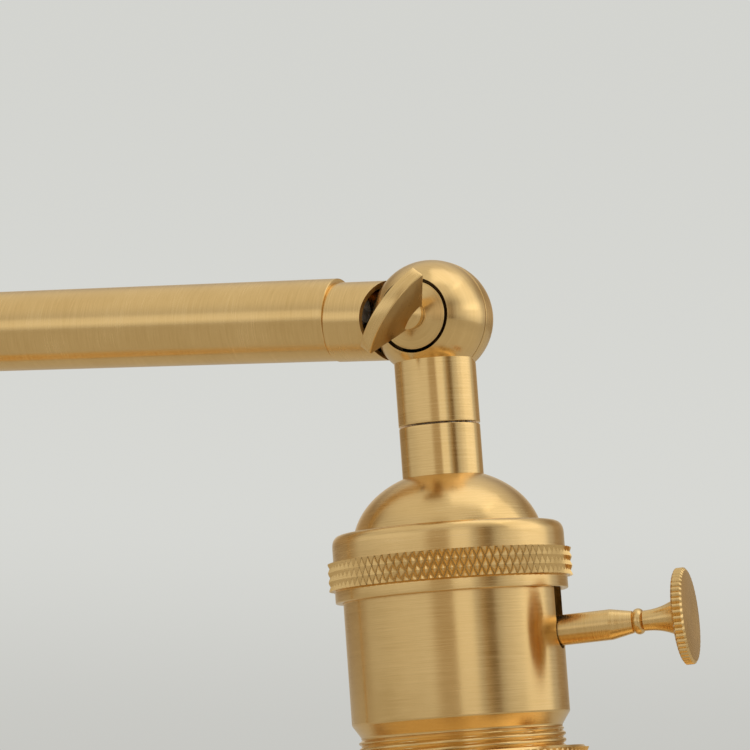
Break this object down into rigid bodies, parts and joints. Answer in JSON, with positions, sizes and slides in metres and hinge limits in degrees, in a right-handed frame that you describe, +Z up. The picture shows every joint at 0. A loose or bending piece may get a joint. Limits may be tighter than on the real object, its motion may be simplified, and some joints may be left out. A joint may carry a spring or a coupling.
{
  "type": "swing arm desk lamp",
  "caption": "Brass desk lamp with a weighted round base, a tilting swing arm on wing-screw ball knuckles, and a turn-key lampholder under a spun dome shade.",
  "frame": {"origin": "centre of the base's underside, on the table", "axes": "+Z up along the post; +X along the arm at rest, away from the post; the wing screws are on the -Y side"},
  "size_m": [0.5043, 0.1816, 0.4306],
  "materials": {
    "brushed_brass": "satin, fine turned and cross brushing, clear lacquer",
    "plain_brass": "plain turned",
    "zinc_steel": "zinc plated",
    "cast_iron": "black painted, sand-cast",
    "felt": "wool felt",
    "black_plastic": "moulded phenolic",
    "lead_braid": "braided black textile over two cores",
    "fibre_liner": "olive-brown fibre paper",
    "cam_plastic": "moulded",
    "bulb_metal": "nickel plated",
    "bulb_glass": "clear blown glass",
    "filament": "phosphor-coated LED sticks on a glass stem"
  },
  "bodies": {
    "base": {"base_cover": "brushed_brass", "base_weight": "cast_iron", "base_plate": "zinc_steel", "base_felt": "felt", "base_screws": "zinc_steel", "cord_bush": "black_plastic", "post_nipple": "zinc_steel", "post_washer": "zinc_steel", "post_nut": "zinc_steel", "post_foot": "plain_brass", "post_collar": "brushed_brass", "post_tube": "brushed_brass", "post_cap": "brushed_brass", "post_stop_pin": "zinc_steel", "post_lead": "lead_braid"},
    "shoulder": {"shoulder_neck": "brushed_brass", "shoulder_stop_pin": "zinc_steel", "shoulder_nipple": "zinc_steel", "shoulder_spring_washer": "zinc_steel", "shoulder_nipple_nut": "zinc_steel", "shoulder_disc": "brushed_brass"},
    "shoulder_screw": {"shoulder_wing_screw": "brushed_brass"},
    "arm": {"shoulder_sleeve": "brushed_brass", "arm_tube": "brushed_brass", "wrist_sleeve": "brushed_brass", "arm_grub_screws": "zinc_steel", "arm_lead": "lead_braid"},
    "wrist": {"wrist_neck": "brushed_brass", "wrist_stop_pin": "zinc_steel", "wrist_nipple": "zinc_steel", "wrist_spring_washer": "zinc_steel", "wrist_nipple_nut": "zinc_steel", "wrist_disc": "brushed_brass", "wrist_lead": "lead_braid"},
    "wrist_screw": {"wrist_wing_screw": "brushed_brass"},
    "head": {"holder_neck": "brushed_brass", "holder_stop_pin": "zinc_steel", "holder_lock_nut": "zinc_steel", "holder_cap": "brushed_brass", "holder_shell": "brushed_brass", "holder_liner": "fibre_liner", "holder_core": "black_plastic", "holder_wires": "lead_braid", "terminal_screws": "plain_brass", "screw_shell": "plain_brass", "centre_contact": "plain_brass", "upper_shade_ring": "brushed_brass", "lower_shade_ring": "brushed_brass", "shade": "brushed_brass", "bulb_contact": "bulb_metal", "bulb_cap": "bulb_metal", "bulb_globe": "bulb_glass", "bulb_filaments": "filament"},
    "key": {"switch_key": "brushed_brass", "switch_spindle": "zinc_steel", "switch_cam": "cam_plastic"}
  },
  "joints": [
    {"name": "arm_swing", "type": "hinge", "parent": "base", "child": "shoulder", "pos_m": [0, 0, 0.42], "axis": [0, 0, 1], "range_deg": [-165, 165]},
    {"name": "arm_tilt", "type": "hinge", "parent": "shoulder", "child": "arm", "pos_m": [0, 0, 0.42], "axis": [0, -1, 0], "range_deg": [-5, 80]},
    {"name": "shoulder_screw_turn", "type": "hinge", "parent": "shoulder", "child": "shoulder_screw", "pos_m": [0, 0, 0.42], "axis": [0, -1, 0], "range_deg": [-30, 330]},
    {"name": "head_tilt", "type": "hinge", "parent": "arm", "child": "wrist", "pos_m": [0.32, 0, 0.42], "axis": [0, -1, 0], "range_deg": [-10, 95]},
    {"name": "wrist_screw_turn", "type": "hinge", "parent": "wrist", "child": "wrist_screw", "pos_m": [0.32, 0, 0.42], "axis": [0, -1, 0], "range_deg": [-30, 330]},
    {"name": "head_swivel", "type": "hinge", "parent": "wrist", "child": "head", "pos_m": [0.32, 0, 0.42], "axis": [-0.0872, 0, 0.9962], "range_deg": [-165, 165]},
    {"name": "key_turn", "type": "hinge", "parent": "head", "child": "key", "pos_m": [0.32505, 0, 0.36226], "axis": [0.9778, 0.1736, 0.1171], "continuous": true}
  ]
}
